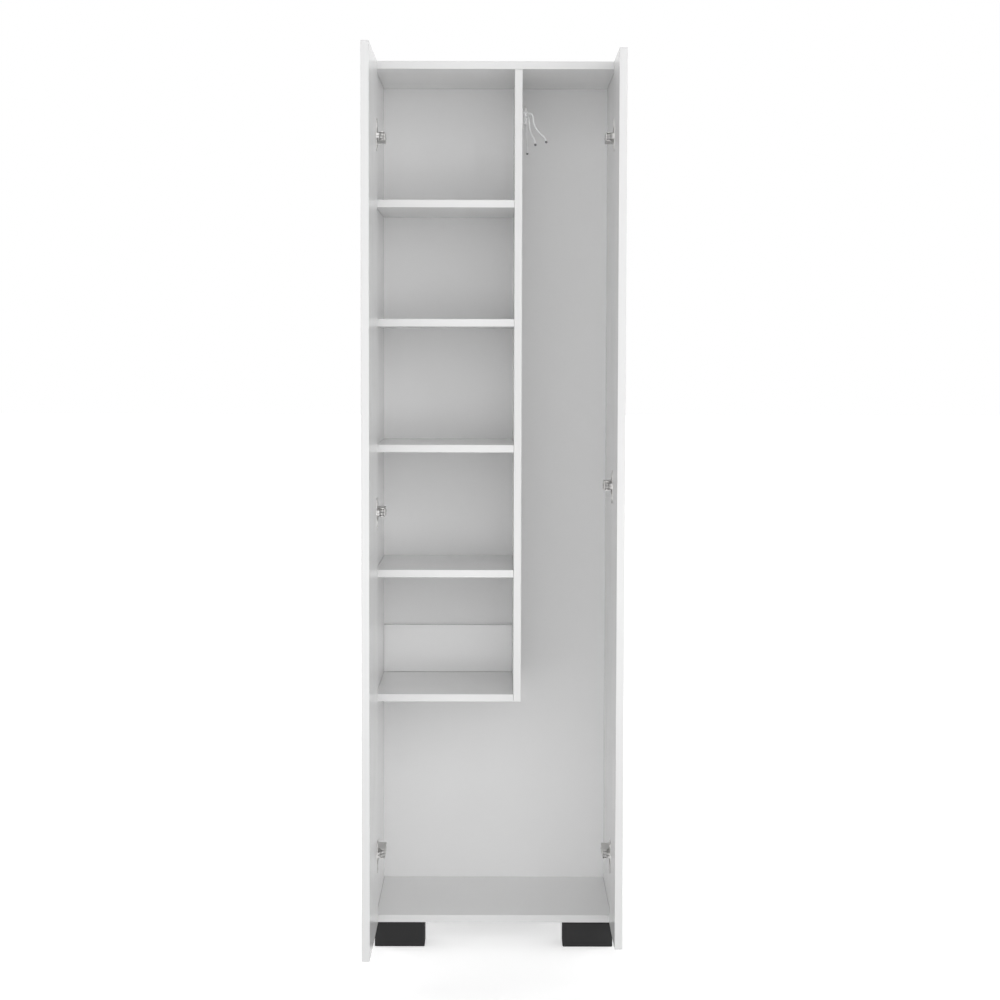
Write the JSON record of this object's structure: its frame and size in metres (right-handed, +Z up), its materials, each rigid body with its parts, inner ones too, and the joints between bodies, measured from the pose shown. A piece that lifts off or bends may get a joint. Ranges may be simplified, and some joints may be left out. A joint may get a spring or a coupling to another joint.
{
  "type": "tall bathroom cabinet",
  "caption": "Tall free-standing bathroom cabinet with shelf column, broom bay, swivel hook hanger and full-height doors on concealed cup hinges, raised on block feet",
  "frame": {"origin": "centre of the footprint with both doors open square, on the floor under the feet", "axes": "X to the right seen from the front, Y from the front to the back, Z up"},
  "size_m": [0.5, 0.652, 1.756],
  "materials": {
    "white_board": "white melamine-faced board, satin, edges banded in white",
    "white_back": "thin fibreboard faced white",
    "nickel_steel": "pressed steel, nickel plated",
    "black_plastic": "black moulded plastic, fine grain",
    "white_lacquer": "white powder-coated steel",
    "dark_rubber": "soft dark grey end cap"
  },
  "bodies": {
    "cabinet": {"back_panel": "white_back", "bottom_panel": "white_board", "divider_panel": "white_board", "front_left_foot": "black_plastic", "front_right_foot": "black_plastic", "hanger_bracket": "white_lacquer", "hanger_pin": "nickel_steel", "left_lower_hinge_arm": "nickel_steel", "left_lower_hinge_plate": "nickel_steel", "left_middle_hinge_arm": "nickel_steel", "left_middle_hinge_plate": "nickel_steel", "left_side_panel": "white_board", "left_upper_hinge_arm": "nickel_steel", "left_upper_hinge_plate": "nickel_steel", "rear_left_foot": "black_plastic", "rear_right_foot": "black_plastic", "rear_stretcher": "white_board", "right_lower_hinge_arm": "nickel_steel", "right_lower_hinge_plate": "nickel_steel", "right_middle_hinge_arm": "nickel_steel", "right_middle_hinge_plate": "nickel_steel", "right_side_panel": "white_board", "right_upper_hinge_arm": "nickel_steel", "right_upper_hinge_plate": "nickel_steel", "shelf_1": "white_board", "shelf_2": "white_board", "shelf_3": "white_board", "shelf_4": "white_board", "shelf_5": "white_board", "top_panel": "white_board"},
    "left_door_leaf": {"left_door": "white_board", "left_lower_hinge_cup": "nickel_steel", "left_middle_hinge_cup": "nickel_steel", "left_upper_hinge_cup": "nickel_steel"},
    "right_door_leaf": {"right_door": "white_board", "right_lower_hinge_cup": "nickel_steel", "right_middle_hinge_cup": "nickel_steel", "right_upper_hinge_cup": "nickel_steel"},
    "left_inner_links": {"left_lower_inner_link": "nickel_steel", "left_middle_inner_link": "nickel_steel", "left_upper_inner_link": "nickel_steel"},
    "left_outer_links": {"left_lower_outer_link": "nickel_steel", "left_middle_outer_link": "nickel_steel", "left_upper_outer_link": "nickel_steel"},
    "right_inner_links": {"right_lower_inner_link": "nickel_steel", "right_middle_inner_link": "nickel_steel", "right_upper_inner_link": "nickel_steel"},
    "right_outer_links": {"right_lower_outer_link": "nickel_steel", "right_middle_outer_link": "nickel_steel", "right_upper_outer_link": "nickel_steel"},
    "front_hook": {"front_hook_arm": "white_lacquer", "front_hook_tip": "dark_rubber"},
    "middle_hook": {"middle_hook_arm": "white_lacquer", "middle_hook_tip": "dark_rubber"},
    "back_hook": {"back_hook_arm": "white_lacquer", "back_hook_tip": "dark_rubber"}
  },
  "joints": [
    {"name": "left_door_swing", "type": "hinge", "parent": "cabinet", "child": "left_door_leaf", "pos_m": [-0.2435, -0.0385, 0], "axis": [0, 0, 1], "range_deg": [-5, 90]},
    {"name": "left_inner_link_turn", "type": "hinge", "parent": "left_door_leaf", "child": "left_inner_links", "pos_m": [-0.2335, -0.0425, 0], "axis": [0, 0, 1], "range_deg": [-142, 9]},
    {"name": "left_outer_link_turn", "type": "hinge", "parent": "left_door_leaf", "child": "left_outer_links", "pos_m": [-0.2355, -0.041, 0], "axis": [0, 0, 1], "range_deg": [-127, 9]},
    {"name": "right_door_swing", "type": "hinge", "parent": "cabinet", "child": "right_door_leaf", "pos_m": [0.2435, -0.0385, 0], "axis": [0, 0, -1], "range_deg": [-5, 90]},
    {"name": "right_inner_link_turn", "type": "hinge", "parent": "right_door_leaf", "child": "right_inner_links", "pos_m": [0.2335, -0.0425, 0], "axis": [0, 0, -1], "range_deg": [-142, 9]},
    {"name": "right_outer_link_turn", "type": "hinge", "parent": "right_door_leaf", "child": "right_outer_links", "pos_m": [0.2355, -0.041, 0], "axis": [0, 0, -1], "range_deg": [-127, 9]},
    {"name": "front_hook_swivel", "type": "hinge", "parent": "cabinet", "child": "front_hook", "pos_m": [0.06, 0.042, 1.65305], "axis": [0, 0, -1], "range_deg": [-4, 18]},
    {"name": "middle_hook_swivel", "type": "hinge", "parent": "cabinet", "child": "middle_hook", "pos_m": [0.06, 0.042, 1.65985], "axis": [0, 0, -1], "range_deg": [-20, 12]},
    {"name": "back_hook_swivel", "type": "hinge", "parent": "cabinet", "child": "back_hook", "pos_m": [0.06, 0.042, 1.64625], "axis": [0, 0, -1], "range_deg": [-4, 106]}
  ],
  "couplings": [
    {"joint": "left_inner_link_turn", "follows": "left_door_swing", "ratio": -1.554},
    {"joint": "left_outer_link_turn", "follows": "left_door_swing", "ratio": -1.3836},
    {"joint": "right_inner_link_turn", "follows": "right_door_swing", "ratio": -1.554},
    {"joint": "right_outer_link_turn", "follows": "right_door_swing", "ratio": -1.3836}
  ]
}
